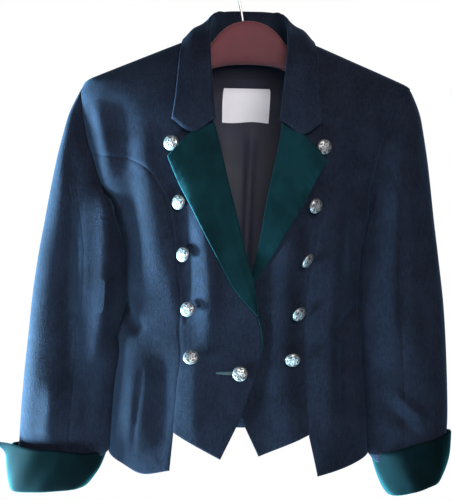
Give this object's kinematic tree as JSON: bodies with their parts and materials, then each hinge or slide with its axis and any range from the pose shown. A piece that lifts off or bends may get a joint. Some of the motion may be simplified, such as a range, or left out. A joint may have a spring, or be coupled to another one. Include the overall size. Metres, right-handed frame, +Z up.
{
  "type": "tyrolean loden jacket on a clothes hanger",
  "caption": "Short double-breasted wool jacket with peaked velvet lapels, turned-back velvet cuffs and domed metal buttons, hung on a flocked hanger.",
  "frame": {"origin": "the point inside the top of the hanger's hook that rests on a rail", "axes": "+Z up; the jacket's front faces -Y; +X towards the wearer's left"},
  "size_m": [0.6333, 0.1632, 0.7207],
  "materials": {
    "loden": "napped wool cloth",
    "velvet": "cotton velvet",
    "lining": "satin lining",
    "label": "woven label",
    "button_metal": "antique silver, embossed",
    "hanger_flock": "flocked",
    "hook_wire": "polished wire"
  },
  "bodies": {
    "root": {"front_right": "loden", "side_front_right": "loden", "front_left": "loden", "side_front_left": "loden", "back": "loden", "lapel_right": "velvet", "lapel_left": "velvet", "collar": "loden", "top_sleeve_right": "loden", "under_sleeve_right": "loden", "top_sleeve_left": "loden", "under_sleeve_left": "loden", "cuff_right": "velvet", "cuff_left": "velvet", "lining": "lining", "label": "label", "button_right_1": "button_metal", "button_right_2": "button_metal", "button_right_3": "button_metal", "button_right_4": "button_metal", "button_right_5": "button_metal", "button_left_1": "button_metal", "button_left_2": "button_metal", "button_left_3": "button_metal", "button_left_4": "button_metal", "button_left_5": "button_metal", "button_closing": "button_metal", "hanger_body": "hanger_flock", "hanger_hook": "hook_wire"}
  },
  "joints": []
}
